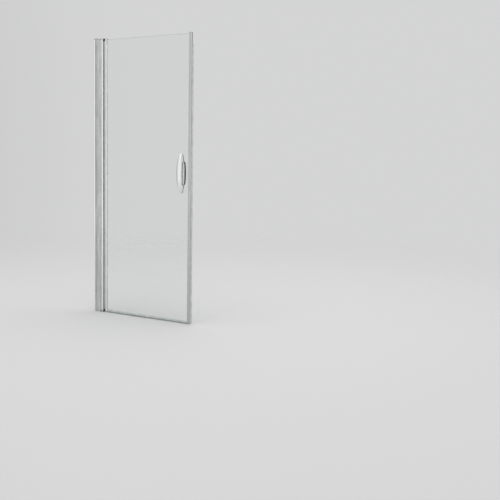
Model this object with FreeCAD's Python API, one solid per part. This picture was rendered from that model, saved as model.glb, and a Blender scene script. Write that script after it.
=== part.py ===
import FreeCAD, Part
import math
import os

from FreeCAD import Vector

# A single-panel bath screen.  Millimetres.  X runs from the wall out along the glass, Y towards the
# bath and Z up.  The origin is on the wall face, in the middle plane of the glass, at the bath rim.
# The post is drawn in the middle of its adjustment, with the glass panel straight out from the wall.
# The column's middle plane is a little nearer the bath than that of the glass, so the pivot sits
# towards the room side of the post's face.  The column's pieces are drawn about their own middle
# plane and then moved to their place.

# ---------------------------------------------------------------- clearances
running_gap = 0.3         # between pieces that move past each other
swing_gap = 0.4           # between the turning glass channel and the pivot heads
seat_gap = 0.05           # between a piece and the seat that it is pushed into
plug_gap = 0.15           # between a pivot block and the post's chamber
thread_gap = 0.02         # radial, a screw or pin in its own hole
turning_gap = 0.06        # radial, a pin in its bush
travel_gap = 0.5          # left over at the ends of the adjustment
overcut = 10.0            # how far a cutting shape runs past what it cuts

# ---------------------------------------------------------------- heights
overall_height = 1500.0   # bath rim to the tab on the wall profile's cap
wall_tab_height = 2.5
wall_cap_thickness = 2.5
wall_plug_floor = 3.0     # under the post
post_cap_thickness = 2.7
panel_lift = 3.0          # rim to the underside of the panel's end caps
panel_drop = 3.5          # overall top to the top of the panel's end caps
panel_cap_thickness = 2.0
glass_lift = 3.0          # glass above the lower end of the panel's profiles
glass_drop = 3.5          # glass below their upper end

# ---------------------------------------------------------------- wall profile
column_offset = 6.0       # middle plane of the column, from that of the glass
wall_depth = 44.0
wall_web = 2.0
wall_flange = 1.6
bead_width = 9.0
bead_proud = 1.6
wall_hole_radius = 2.75
wall_hole_count = 4
wall_hole_end = 100.0     # end of the profile to the nearest hole
lug_thickness = 3.1
lug_width = 7.0
lug_inset = 5.0
lug_height = 14.0
tab_start = 8.0
tab_length = 14.0
tab_width = 24.0
tab_round = 3.0

# ---------------------------------------------------------------- post
post_setback = 16.0       # wall to the back of the post at mid adjustment
post_depth = 51.3
post_width = 27.2
post_wall = 1.5
post_face_wall = 2.5
post_round = 1.0
rear_chamber = 28.5
adjust_travel = 10.0      # each way from mid adjustment
port_half = 3.1
port_bore = 1.6
port_first = 8.0
port_spacing = 16.0
cap_screw_radius = 1.58
cap_screw_head = 3.0
cap_screw_length = 14.0

# ---------------------------------------------------------------- adjusting screws
adjust_screw_count = 3
adjust_screw_end = 150.0  # end of the profile to the nearest screw
adjust_screw_x = 31.5
adjust_screw_radius = 2.0
adjust_hole_radius = 2.2
adjust_head_radius = 4.0
adjust_head_height = 2.4
adjust_screw_length = 7.0
clamp_plate_width = 7.0
clamp_plate_length = 30.0
clamp_plate_thickness = 2.3
cover_wall = 1.2

# ---------------------------------------------------------------- pivot
barrel_radius = 4.9
barrel_bore = 3.6
sleeve_thickness = 0.6
wiper_projection = 0.5    # post gasket in line with the pivot
wiper_tip = 2.0           # post gasket at its two tips
wiper_width = 8.0
wiper_groove = 1.15
head_radius = 5.5
head_height = 13.0
head_drop = 3.0           # overall top to the upper head
head_lift = 3.0           # rim to the lower head
head_chamfer = 0.6
plug_height = 28.0
pin_radius = 3.0
pin_recess = 0.5          # end of a pin below the face of its head
bush_length = 24.0
bush_flange = 1.0
block_screw_depth = 18.0  # post end to the block's screw
block_screw_radius = 2.0
block_screw_head = 3.4
block_screw_length = 11.0

# ---------------------------------------------------------------- hinge profile
neck_width = 4.0
clamp_web = 1.8
clamp_depth = 10.0
clamp_leg = 1.2
clamp_gasket_wall = 1.2
clamp_gasket_base = 1.0
clamp_round = 0.9
gasket_bead = 1.2         # part of a glazing gasket that shows past its channel
gasket_bead_proud = 0.5

# ---------------------------------------------------------------- glass
glass_thickness = 6.0
glass_arris = 0.5

# ---------------------------------------------------------------- free edge
reach = 670.0             # wall to the tip of the lip at mid adjustment
lip_projection = 10.0
lip_root = 3.2
lip_tip = 1.4
lip_top_drop = 54.0       # overall top to the top of the lip
lip_slant = 10.0
lip_lift = 6.0
edge_depth = 16.5
edge_leg = 1.5
edge_web = 1.4
edge_nose = 5.5
edge_nose_width = 7.0
edge_nose_bulge = 0.5
edge_gasket_wall = 1.4
edge_gasket_base = 1.2
key_depth = 3.2
key_width = 5.2
key_neck_depth = 2.4
key_neck_width = 2.4

# ---------------------------------------------------------------- bottom seal
seal_wall = 1.0
seal_grip = 6.0
seal_base = 2.5
fin_root = 1.0
fin_tip = 0.6
fin_drop = 4.8
fin_lean = 0.7
drip_reach = 5.0
drip_drop = 4.0

# ---------------------------------------------------------------- handle
handle_inset = 57.0       # face of the edge profile to the handle's middle
handle_height = 782.0     # rim to the handle's middle
handle_length = 205.0
handle_width = 29.7
handle_stand = 34.5       # glass to the front of the bow
crown_radius = 29.6       # of the front face, across its middle
bow_radius = 400.0        # of the front face, along its middle
tip_radius = 50.0         # of the front face, along its two ends
tip_bend = 75.0           # height over the middle where the two radii meet
tip_overrun = 0.5         # how far the front face's curve runs past the tips
bow_thickness = 12.4
bow_back_fall = 3.6       # of the bow's back, from its middle to the ends of the finger gap
finger_length = 122.0
finger_round = 8.0
bolt_pitch = 148.0
front_pad_thickness = 3.0
back_gasket_thickness = 1.0
backplate_length = 168.0
backplate_width = 10.5
backplate_thickness = 3.0
backplate_chamfer = 0.6
grip_length = 124.0
grip_stand = 22.8         # backplate to the outside of the grip's bow
grip_width = 8.5
grip_taper_length = 165.0 # of the oval that narrows the grip towards its ends
grip_thickness = 6.0
grip_bow_radius = 400.0
grip_shoulder = 15.0
peg_length = 2.4
peg_inset = 3.0           # end of the grip to the middle of a peg
peg_width = 2.8
handle_screw_radius = 2.5
handle_screw_head = 4.4
handle_screw_bite = 12.0
handle_screw_key = 3.0     # across the flats of the socket
handle_screw_socket = 1.5  # depth of the socket
glass_hole_radius = 6.0

# ---------------------------------------------------------------- places that follow from the sizes
post_half = post_width / 2
post_inner = post_half - post_wall
wall_inner = post_half + running_gap
wall_half = wall_inner + wall_flange
bead_half = wall_half + bead_proud

wall_top = overall_height - wall_tab_height - wall_cap_thickness
wall_cap_top = wall_top + wall_cap_thickness
post_top = wall_top - running_gap - post_cap_thickness
post_bottom = wall_plug_floor + running_gap + post_cap_thickness

post_front = post_setback + post_depth
rear_chamber_start = post_setback + post_wall
rear_chamber_end = rear_chamber_start + rear_chamber
front_chamber_start = rear_chamber_end + post_wall
front_chamber_end = post_front - post_face_wall
post_step = wall_depth + adjust_travel + travel_gap
port_y = -(post_inner - port_half)
port_xs = [post_setback + port_first, post_setback + port_first + port_spacing]

sleeve_radius = barrel_radius + sleeve_thickness
pivot_x = post_front + wiper_projection + running_gap + sleeve_radius
pivot_y = -column_offset  # from the column's own middle plane
upper_head_top = overall_height - head_drop
upper_head_bottom = upper_head_top - head_height
lower_head_top = head_lift + head_height
barrel_top = upper_head_bottom - running_gap - bush_flange
barrel_bottom = lower_head_top + running_gap + bush_flange
block_screw_x = (front_chamber_start + front_chamber_end) / 2
fin_clear = pivot_x + column_offset + bead_half + running_gap

glass_half = glass_thickness / 2
clamp_back = pivot_x + head_radius + swing_gap
clamp_floor = clamp_back + clamp_web
clamp_front = clamp_back + clamp_depth
clamp_inner = glass_half + clamp_gasket_wall + 2 * seat_gap
clamp_half = clamp_inner + clamp_leg
glass_start = clamp_floor + clamp_gasket_base + 2 * seat_gap

panel_bottom = panel_lift + panel_cap_thickness
panel_top = overall_height - panel_drop - panel_cap_thickness
glass_bottom = panel_bottom + glass_lift
glass_top = panel_top - glass_drop

edge_front = reach - lip_projection
edge_back = edge_front - edge_depth
key_mouth = edge_front - key_neck_depth
key_floor = key_mouth - key_depth
edge_floor = key_floor - edge_web
edge_inner = glass_half + edge_gasket_wall + 2 * seat_gap
edge_half = edge_inner + edge_leg
glass_end = edge_floor - edge_gasket_base - 2 * seat_gap

handle_x = edge_front - handle_inset
pad_face = glass_half + front_pad_thickness
gasket_face = glass_half + back_gasket_thickness
backplate_face = gasket_face + backplate_thickness
bow_face = glass_half + handle_stand
bolt_heights = [handle_height - bolt_pitch / 2, handle_height + bolt_pitch / 2]


# ---------------------------------------------------------------- shapes used more than once
def block(x0, x1, y0, y1, z0, z1):
    """A rectangular block between two corners."""
    return Part.makeBox(x1 - x0, y1 - y0, z1 - z0, Vector(x0, y0, z0))


def rod(x, y, z0, z1, radius):
    """An upright cylinder."""
    return Part.makeCylinder(radius, z1 - z0, Vector(x, y, z0))


def cross_rod(x, z, y0, y1, radius):
    """A cylinder square to the glass."""
    return Part.makeCylinder(radius, y1 - y0, Vector(x, y0, z), Vector(0, 1, 0))


def outline(start, steps):
    """A face in the plan view.  A step of two numbers is a line to (x, y), and one of four is an
    arc through (x, y) to (x, y).  The outline closes itself."""
    here = Vector(start[0], start[1], 0)
    first = here
    edges = []
    for step in steps:
        there = Vector(step[-2], step[-1], 0)
        if len(step) == 4:
            edges.append(Part.Arc(here, Vector(step[0], step[1], 0), there).toShape())
        else:
            edges.append(Part.LineSegment(here, there).toShape())
        here = there
    edges.append(Part.LineSegment(here, first).toShape())
    return Part.Face(Part.Wire(edges))


def upright(face, z0, z1):
    """A prism over a plan-view face."""
    prism = face.extrude(Vector(0, 0, z1 - z0))
    prism.translate(Vector(0, 0, z0))
    return prism


def mirrored(start, steps):
    """A plan-view face whose bath side is drawn from start through the steps of outline, and whose
    other side is its mirror image."""
    points = [start] + [step[-2:] for step in steps]
    back = [(points[-1][0], -points[-1][1])]
    for step, point in zip(reversed(steps), reversed(points[:-1])):
        through = (step[0], -step[1]) if len(step) == 4 else ()
        back.append(through + (point[0], -point[1]))
    return outline(start, steps + back)


def side_prism(corners, x0, x1):
    """A bar along X over a list of (y, z) corners."""
    points = [Vector(x0, y, z) for y, z in corners]
    face = Part.Face(Part.makePolygon(points + points[:1]))
    return face.extrude(Vector(x1 - x0, 0, 0))


def rounded(solid, radius, corners):
    """The solid with the upright edges at the given (x, y) corners, on both sides, rounded."""
    wanted = []
    for edge in solid.Edges:
        low = edge.BoundBox
        if low.XLength > seat_gap or low.YLength > seat_gap:
            continue
        for x, y in corners:
            if abs(low.XMin - x) < seat_gap and abs(abs(low.YMin) - y) < seat_gap:
                wanted.append(edge)
    return solid.makeFillet(radius, wanted)


def countersunk(tip, direction, head_radius, radius, length):
    """A flat-headed screw whose head face is centred on tip and whose shank follows direction."""
    cone_height = head_radius - radius
    cone = Part.makeCone(head_radius, radius, cone_height, tip, direction)
    shank = Part.makeCylinder(radius, length, tip, direction)
    return cone.fuse(shank).removeSplitter()


def oval(length, width, y0, y1):
    """An upright elliptical plate, square to the glass, round the handle's middle."""
    centre = Vector(handle_x, y0, handle_height)
    long_end = centre + Vector(0, 0, length / 2)
    short_end = centre + Vector(width / 2, 0, 0)
    ring = Part.Ellipse(long_end, short_end, centre)
    face = Part.Face(Part.Wire(ring.toShape()))
    plate = face.extrude(Vector(0, y1 - y0, 0))
    return plate


def stadium(length, width, y0, y1):
    """An upright plate with straight sides and round ends, square to the glass, round the handle's
    middle."""
    half = width / 2
    straight = length / 2 - half
    plate = block(handle_x - half, handle_x + half, y0, y1, handle_height - straight,
                  handle_height + straight)
    ends = [cross_rod(handle_x, handle_height + z, y0, y1, half) for z in (-straight, straight)]
    return plate.fuse(ends).removeSplitter()


def in_column(shape):
    """A piece of the column, moved from its own middle plane to its place."""
    return shape.translated(Vector(0, column_offset, 0))


def spread(first, last, count):
    """Evenly spaced places."""
    return [first + (last - first) * step / (count - 1) for step in range(count)]


wall_hole_heights = spread(wall_hole_end, wall_top - wall_hole_end, wall_hole_count)
adjust_heights = spread(adjust_screw_end, wall_top - adjust_screw_end, adjust_screw_count)


# ---------------------------------------------------------------- fixed to the wall
def wall_outline():
    """Outside of the wall profile, bath side: a domed bead at the wall, then the flange."""
    return [(bead_width / 2, bead_half, bead_width, wall_half), (wall_depth, wall_half)]


def make_wall_profile():
    """A U-section with a domed bead along each back corner."""
    inside = [(wall_depth, wall_inner), (wall_web, wall_inner)]
    solid = upright(mirrored((0, wall_half), wall_outline() + inside), 0, wall_top)
    cuts = []
    for height in wall_hole_heights:
        start = Vector(-overcut, 0, height)
        cuts.append(Part.makeCylinder(wall_hole_radius, overcut + 2 * wall_web, start, Vector(1, 0, 0)))
    for height in adjust_heights:
        cuts.append(cross_rod(adjust_screw_x, height, 0, wall_half + overcut, adjust_hole_radius))
    return solid.cut(cuts)


def wall_lugs(z0, z1):
    """Two lugs that stand against the web, behind the post."""
    start = wall_web + seat_gap
    lugs = []
    for side in (-1, 1):
        near, far = side * lug_inset, side * (lug_inset + lug_width)
        lugs.append(block(start, start + lug_thickness, min(near, far), max(near, far), z0, z1))
    return lugs


def make_wall_top_cap():
    """A cap plate over the whole section, with an oblong tab to lift it by."""
    plate = upright(mirrored((0, wall_half), wall_outline()), wall_top, wall_cap_top)
    tab_half = tab_width / 2
    tab = block(tab_start, tab_start + tab_length, -tab_half, tab_half, wall_cap_top, overall_height)
    tab = rounded(tab, tab_round, [(tab_start, tab_half), (tab_start + tab_length, tab_half)])
    return plate.fuse([tab] + wall_lugs(wall_top - lug_height, wall_top))


def make_wall_foot_plug():
    """A floor in the lower end of the wall profile."""
    half = wall_inner - seat_gap
    floor = block(wall_web + seat_gap, wall_depth, -half, half, 0, wall_plug_floor)
    return floor.fuse(wall_lugs(wall_plug_floor, wall_plug_floor + lug_height))


def make_adjusting_screws():
    """Pan-headed screws through the bath-side flange."""
    screws = []
    for height in adjust_heights:
        head = cross_rod(adjust_screw_x, height, wall_half, wall_half + adjust_head_height,
                         adjust_head_radius)
        shank = cross_rod(adjust_screw_x, height, wall_half - adjust_screw_length, wall_half,
                          adjust_screw_radius)
        screws.append(head.fuse(shank).removeSplitter())
    return Part.makeCompound(screws)


def make_clamp_plates():
    """Tapped plates against the inside of the post's bath-side wall."""
    outside = post_inner - running_gap
    inside = outside - clamp_plate_thickness
    across, along = clamp_plate_width / 2, clamp_plate_length / 2
    plates = []
    for height in adjust_heights:
        plate = block(adjust_screw_x - across, adjust_screw_x + across, inside, outside,
                      height - along, height + along)
        hole = cross_rod(adjust_screw_x, height, inside - overcut, outside + overcut,
                         adjust_screw_radius + thread_gap)
        plates.append(plate.cut(hole))
    return Part.makeCompound(plates)


def make_screw_covers():
    """Hollow push-on covers over the adjusting screws' heads."""
    room = adjust_head_height + running_gap
    radius = adjust_head_radius + running_gap + cover_wall
    covers = []
    for height in adjust_heights:
        cover = cross_rod(adjust_screw_x, height, wall_half, wall_half + room + cover_wall, radius)
        hollow = cross_rod(adjust_screw_x, height, wall_half - overcut, wall_half + room,
                           adjust_head_radius + running_gap)
        covers.append(cover.cut(hollow))
    return Part.makeCompound(covers)


# ---------------------------------------------------------------- slides in the wall profile
def post_prism(z0, z1):
    """The post's outside shape: a plain box with a domed bead along each front corner, which stands
    as proud as the wall profile's."""
    bead_back = post_front - bead_width
    side = [(bead_back, post_half), (bead_back, wall_half),
            (bead_back + bead_width / 2, bead_half, post_front, wall_half)]
    solid = upright(mirrored((post_setback, post_half), side), z0, z1)
    return rounded(solid, post_round, [(post_setback, post_half)])


def adjusting_slot(height):
    """A slot through the bath-side wall, as long as the adjustment."""
    start, end = adjust_screw_x - adjust_travel, adjust_screw_x + adjust_travel
    slot = block(start, end, 0, post_half + overcut, height - adjust_hole_radius,
                 height + adjust_hole_radius)
    for x in (start, end):
        slot = slot.fuse(cross_rod(x, height, 0, post_half + overcut, adjust_hole_radius))
    return slot


def block_screw(height, growth):
    """A screw through the bath-side wall into a pivot block, or the hole for it."""
    return countersunk(Vector(block_screw_x, post_half, height), Vector(0, -1, 0),
                       block_screw_head + growth, block_screw_radius + growth, block_screw_length)


block_screw_heights = [post_bottom + block_screw_depth, post_top - block_screw_depth]


def make_pivot_post():
    """An extrusion with two chambers, screw ports, a gasket groove and milled ends."""
    solid = post_prism(post_bottom, post_top)
    rear = block(rear_chamber_start, rear_chamber_end, -post_inner, post_inner, post_bottom, post_top)
    front = block(front_chamber_start, front_chamber_end, -post_inner, post_inner, post_bottom,
                  post_top)
    solid = solid.cut([rear, front])
    ports = [block(x - port_half, x + port_half, -post_inner, port_y + port_half, post_bottom,
                   post_top) for x in port_xs]
    solid = solid.fuse(ports).removeSplitter()
    bores = [rod(x, port_y, post_bottom, post_top, port_bore) for x in port_xs]
    groove_half = wiper_width / 2 + seat_gap
    groove = block(post_front - wiper_groove, post_front + overcut, pivot_y - groove_half,
                   pivot_y + groove_half, post_bottom, post_top)
    notch_half = head_radius + seat_gap
    notches = []
    for z0, z1 in ((post_bottom - overcut, lower_head_top), (upper_head_bottom, post_top + overcut)):
        notches.append(block(front_chamber_end - overcut, post_front + overcut,
                             pivot_y - notch_half, pivot_y + notch_half, z0, z1))
    slots = [adjusting_slot(height) for height in adjust_heights]
    holes = [block_screw(height, seat_gap) for height in block_screw_heights]
    return solid.cut(bores + [groove] + notches + slots + holes)


def cap_screw(x, z, sense, growth):
    """A countersunk screw through a post cap into a screw port, or the hole for it."""
    return countersunk(Vector(x, port_y, z), Vector(0, 0, sense), cap_screw_head + growth,
                       cap_screw_radius + growth, cap_screw_length)


def make_post_top_cap():
    """A cap that runs on under the wall profile's cap, and is level with it in front."""
    low = post_prism(post_top, post_top + post_cap_thickness)
    high = post_prism(post_top, wall_cap_top)
    front = block(post_step, post_front, -bead_half, bead_half, post_top, wall_cap_top)
    holes = [cap_screw(x, post_top + post_cap_thickness, -1, seat_gap) for x in port_xs]
    return low.fuse(high.common(front)).removeSplitter().cut(holes)


def make_post_bottom_cap():
    """A plain cap under the post."""
    plate = post_prism(post_bottom - post_cap_thickness, post_bottom)
    holes = [cap_screw(x, post_bottom - post_cap_thickness, 1, seat_gap) for x in port_xs]
    return plate.cut(holes)


def make_post_cap_screws():
    """The four screws of the two caps."""
    screws = []
    for x in port_xs:
        screws.append(cap_screw(x, post_top + post_cap_thickness, -1, 0))
        screws.append(cap_screw(x, post_bottom - post_cap_thickness, 1, 0))
    return Part.makeCompound(screws)


def pivot_block(post_end, head_outer, head_inner, screw_height):
    """A plug in the post's front chamber, with a neck out through the milled end and a round head
    that holds the pin."""
    sense = 1 if head_inner > head_outer else -1
    plug_outer = post_end + sense * seat_gap
    plug_inner = plug_outer + sense * plug_height
    half = post_inner - plug_gap
    plug = block(front_chamber_start + plug_gap, front_chamber_end - plug_gap, -half, half,
                 min(plug_outer, plug_inner), max(plug_outer, plug_inner))
    neck = block(front_chamber_end - plug_gap, pivot_x, pivot_y - head_radius,
                 pivot_y + head_radius, min(plug_outer, head_inner), max(plug_outer, head_inner))
    head = rod(pivot_x, pivot_y, min(head_outer, head_inner), max(head_outer, head_inner),
               head_radius)
    outer_rim = [edge for edge in head.Edges if abs(edge.BoundBox.ZMin - head_outer) < seat_gap
                 and edge.BoundBox.ZLength < seat_gap]
    head = head.makeChamfer(head_chamfer, outer_rim)
    pin_hole = rod(pivot_x, pivot_y, min(head_outer, head_inner) - overcut,
                   max(head_outer, head_inner) + overcut, pin_radius + thread_gap)
    screw_hole = block_screw(screw_height, thread_gap)
    return plug.fuse([neck, head]).removeSplitter().cut([pin_hole, screw_hole])


def make_pivot_pins():
    """Two pins, each from its head into its bush."""
    pins = []
    for z0, z1 in ((head_lift + pin_recess, barrel_bottom + bush_length),
                   (barrel_top - bush_length, upper_head_top - pin_recess)):
        pins.append(rod(pivot_x, 0, z0, z1, pin_radius))
    return Part.makeCompound(pins)


def make_block_screws():
    """The two screws that hold the pivot blocks."""
    return Part.makeCompound([block_screw(height, 0) for height in block_screw_heights])


def make_post_gasket():
    """A wiper that fills the groove in the post's face and is hollowed to follow the sleeve."""
    half = wiper_width / 2
    base = block(post_front - wiper_groove + seat_gap, post_front + wiper_tip, -half, half,
                 lower_head_top + seat_gap, upper_head_bottom - seat_gap)
    path = rod(pivot_x, 0, 0, overall_height, sleeve_radius + running_gap)
    return base.cut(path)


# ---------------------------------------------------------------- swings on the pins
def make_hinge_profile():
    """A barrel, a neck and a glass channel in one extrusion, with the barrel cut short."""
    side = [(clamp_front, clamp_half), (clamp_front, clamp_inner), (clamp_floor, clamp_inner)]
    channel = upright(mirrored((clamp_back, clamp_half), side), panel_bottom, panel_top)
    channel = rounded(channel, clamp_round, [(clamp_back, clamp_half), (clamp_front, clamp_half)])
    barrel = rod(pivot_x, 0, barrel_bottom, barrel_top, barrel_radius)
    neck = block(pivot_x + barrel_bore, clamp_floor - clamp_web / 2, -neck_width / 2, neck_width / 2,
                 barrel_bottom, barrel_top)
    bore = rod(pivot_x, 0, barrel_bottom, barrel_top, barrel_bore)
    return channel.fuse([barrel, neck]).removeSplitter().cut(bore)


def make_hinge_sleeve():
    """A soft sleeve round the barrel, open at the neck."""
    tube = rod(pivot_x, 0, barrel_bottom, barrel_top, sleeve_radius)
    core = rod(pivot_x, 0, barrel_bottom, barrel_top, barrel_radius + seat_gap)
    half = neck_width / 2 + running_gap
    mouth = block(pivot_x, pivot_x + 2 * sleeve_radius, -half, half, barrel_bottom, barrel_top)
    return tube.cut([core, mouth])


def make_pivot_bushes():
    """Flanged bushes in the two ends of the barrel."""
    bushes = []
    for end, inside in ((barrel_bottom, 1), (barrel_top, -1)):
        body_end = end + inside * bush_length
        flange_end = end - inside * bush_flange
        body = rod(pivot_x, 0, min(end, body_end), max(end, body_end), barrel_bore - thread_gap)
        flange = rod(pivot_x, 0, min(end, flange_end), max(end, flange_end), barrel_radius)
        hole = rod(pivot_x, 0, min(flange_end, body_end) - overcut,
                   max(flange_end, body_end) + overcut, pin_radius + turning_gap)
        bushes.append(body.fuse(flange).removeSplitter().cut(hole))
    return Part.makeCompound(bushes)


def glazing_gasket(floor, mouth, inner, base):
    """A U-shaped gasket in a glass channel, with a bead on each leg outside the channel."""
    sense = 1 if mouth > floor else -1
    back = floor + sense * seat_gap
    lip = mouth + sense * seat_gap
    front = lip + sense * gasket_bead
    side = [(lip, inner - seat_gap), (lip, inner + gasket_bead_proud),
            (front, inner + gasket_bead_proud), (front, glass_half + seat_gap),
            (back + sense * base, glass_half + seat_gap)]
    return upright(mirrored((back, inner - seat_gap), side), glass_bottom, glass_top)


def end_caps(x0, x1, half, peg_x0, peg_x1, peg_half, corners):
    """A cap plate on each end of a profile of the panel, with a peg in its glass channel."""
    caps = []
    for outer, inner, peg_end in ((panel_lift, panel_bottom, glass_bottom - running_gap),
                                  (panel_top + panel_cap_thickness, panel_top,
                                   glass_top + running_gap)):
        plate = block(x0, x1, -half, half, min(outer, inner), max(outer, inner))
        plate = rounded(plate, clamp_round, corners)
        peg = block(peg_x0, peg_x1, -peg_half, peg_half, min(inner, peg_end), max(inner, peg_end))
        caps.append(plate.fuse(peg).removeSplitter())
    return Part.makeCompound(caps)


def make_hinge_end_caps():
    """Caps on the hinge profile's glass channel."""
    front = clamp_front + gasket_bead + seat_gap
    return end_caps(clamp_back, front, clamp_half, clamp_floor + seat_gap, clamp_front,
                    clamp_inner - seat_gap, [(clamp_back, clamp_half), (front, clamp_half)])


def make_glass_panel():
    """A pane with ground edges and two holes for the handle."""
    pane = block(glass_start, glass_end, -glass_half, glass_half, glass_bottom, glass_top)
    long_edges = [edge for edge in pane.Edges if edge.BoundBox.YLength < seat_gap]
    pane = pane.makeChamfer(glass_arris, long_edges)
    holes = [cross_rod(handle_x, height, -glass_thickness, glass_thickness, glass_hole_radius)
             for height in bolt_heights]
    return pane.cut(holes)


def make_bottom_seal():
    """A push-on seal with an upright fin on the room side and a drip fin towards the bath."""
    inner = glass_half + seat_gap
    outer = inner + seal_wall
    ceiling = glass_bottom - seat_gap
    floor = ceiling - seal_base
    grip_top = glass_bottom + seal_grip
    fin_y = -outer + fin_root + fin_lean
    corners = [(outer, floor), (outer, grip_top), (inner, grip_top), (inner, ceiling),
               (-inner, ceiling), (-inner, grip_top), (-outer, grip_top), (-outer, floor),
               (fin_y - fin_tip, floor - fin_drop), (fin_y, floor - fin_drop),
               (-outer + fin_root, floor), (outer - fin_root, floor),
               (outer + drip_reach - fin_tip, floor - drip_drop),
               (outer + drip_reach, floor - drip_drop + fin_tip)]
    start = clamp_front + gasket_bead + 2 * seat_gap
    end = edge_back - gasket_bead - 2 * seat_gap
    trim = block(start - overcut, fin_clear, outer, outer + 2 * drip_reach, 0, ceiling)
    return side_prism(corners, start, end).cut(trim)


def edge_outline():
    """The outside of the free edge's profile, as a plan-view face."""
    shoulder = edge_front - edge_nose
    nose_half = edge_nose_width / 2
    bend_x = (shoulder + edge_front) / 2 + edge_nose_bulge
    bend_y = (edge_half + nose_half) / 2 + edge_nose_bulge
    return mirrored((edge_back, edge_half),
                    [(shoulder, edge_half), (bend_x, bend_y, edge_front, nose_half)])


def make_edge_profile():
    """A glass channel with a tapered nose and a keyway for the lip."""
    solid = upright(edge_outline(), panel_bottom, panel_top)
    channel = block(edge_back - overcut, edge_floor, -edge_inner, edge_inner, panel_bottom, panel_top)
    chamber = block(key_floor, key_mouth, -key_width / 2, key_width / 2, panel_bottom, panel_top)
    neck = block(key_mouth, edge_front + overcut, -key_neck_width / 2, key_neck_width / 2,
                 panel_bottom, panel_top)
    return solid.cut([channel, chamber, neck])


def make_edge_end_caps():
    """Caps on the two ends of the free edge's profile."""
    caps = []
    for outer, inner, peg_end in ((panel_lift, panel_bottom, glass_bottom - running_gap),
                                  (panel_top + panel_cap_thickness, panel_top,
                                   glass_top + running_gap)):
        plate = upright(edge_outline(), min(outer, inner), max(outer, inner))
        half = edge_inner - seat_gap
        peg = block(edge_back, edge_floor - seat_gap, -half, half, min(inner, peg_end),
                    max(inner, peg_end))
        caps.append(plate.fuse(peg).removeSplitter())
    return Part.makeCompound(caps)


def make_edge_lip():
    """A keyed lip that tapers to its tip, with a slanted upper end."""
    key_half = key_width / 2 - seat_gap
    neck_half = key_neck_width / 2 - seat_gap
    face = edge_front + seat_gap
    side = [(key_mouth - seat_gap, key_half), (key_mouth - seat_gap, neck_half), (face, neck_half),
            (face, lip_root / 2), (reach, lip_tip / 2)]
    top = overall_height - lip_top_drop
    solid = upright(mirrored((key_floor + seat_gap, key_half), side), lip_lift, top)
    slant = [Vector(face, -overcut, top), Vector(reach + overcut, -overcut, top),
             Vector(reach + overcut, -overcut, top - lip_slant * (1 + overcut / lip_projection))]
    wedge = Part.Face(Part.makePolygon(slant + slant[:1])).extrude(Vector(0, 2 * overcut, 0))
    return solid.cut(wedge)


# ---------------------------------------------------------------- handle
def handle_screw(height, growth):
    """A screw from the backplate through the glass into a foot of the handle."""
    reach_in = backplate_face + pad_face + handle_screw_bite
    return countersunk(Vector(handle_x, backplate_face, height), Vector(0, -1, 0),
                       handle_screw_head + growth, handle_screw_radius + growth, reach_in)


def turned_face():
    """The body that the handle's front face is part of, turned about an upright axis behind it.  Its
    side is a long arc that runs smoothly into a tighter one towards each tip."""
    top = handle_length / 2 + tip_overrun
    centre_z = (bow_radius - tip_radius) * tip_bend / bow_radius
    meet = math.asin(tip_bend / bow_radius)
    end = math.asin((top - centre_z) / tip_radius)
    centre_out = crown_radius - bow_radius + (bow_radius - tip_radius) * math.cos(meet)
    tip, bend, start = [(centre_out + tip_radius * math.cos(angle),
                         centre_z + tip_radius * math.sin(angle))
                        for angle in (end, (end + meet) / 2, meet)]
    side = [(bend[0], -bend[1], start[0], -start[1]), (crown_radius, 0) + start, bend + tip, (0, top)]
    section = outline((0, -top), [(tip[0], -tip[1])] + side)
    section.rotate(Vector(0, 0, 0), Vector(1, 0, 0), 90)
    section.translate(Vector(handle_x, crown_radius - bow_face, handle_height))
    return section.revolve(Vector(handle_x, crown_radius - bow_face, 0), Vector(0, 0, 1), 360)


def finger_gap():
    """The space between the feet, behind the bow, whose back is an arc about an axis along X."""
    half = finger_length / 2
    back_radius = (half ** 2 + bow_back_fall ** 2) / (2 * bow_back_fall)
    start, length = handle_x - handle_width, 2 * handle_width
    gap = block(start, start + length, -bow_face, overcut, handle_height - half, handle_height + half)
    axis_y = back_radius - (bow_face - bow_thickness)
    inside = Part.makeCylinder(back_radius, length, Vector(start, axis_y, handle_height),
                               Vector(1, 0, 0))
    gap = gap.common(inside)
    bends = [edge for edge in gap.Edges if edge.BoundBox.XLength > handle_width
             and edge.BoundBox.YMax < 0]
    return gap.makeFillet(finger_round, bends)


def make_handle_front():
    """An oval block with a crowned, bowed face and a finger gap between its two feet."""
    shell = oval(handle_length, handle_width, -(bow_face + overcut), -pad_face)
    shell = shell.common(turned_face()).cut(finger_gap())
    return shell.cut([handle_screw(height, thread_gap) for height in bolt_heights])


def make_front_pads():
    """A pad between each foot and the glass."""
    pads = []
    near, far = finger_length / 2, handle_length
    for z0, z1 in ((-far, -near), (near, far)):
        leaf = oval(handle_length, handle_width, -pad_face, -glass_half)
        pad = leaf.common(block(handle_x - handle_width, handle_x + handle_width, -pad_face,
                                -glass_half, handle_height + z0, handle_height + z1))
        pads.append(pad)
    holes = [handle_screw(height, running_gap) for height in bolt_heights]
    return Part.makeCompound([pad.cut(holes) for pad in pads])


def make_glass_bushes():
    """Bushes that keep the screws off the glass."""
    bushes = []
    for height in bolt_heights:
        body = cross_rod(handle_x, height, -glass_half, glass_half, glass_hole_radius - seat_gap)
        hole = cross_rod(handle_x, height, -glass_thickness, glass_thickness,
                         handle_screw_radius + seat_gap)
        bushes.append(body.cut(hole))
    return Part.makeCompound(bushes)


def grip_pegs(growth):
    """Two square moulded pegs under the grip's ends, or the holes for them."""
    place = grip_length / 2 - peg_inset
    half = peg_width / 2 + growth
    return [block(handle_x - half, handle_x + half, backplate_face - peg_length - growth,
                  backplate_face + growth, height - half, height + half)
            for height in (handle_height - place, handle_height + place)]


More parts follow.
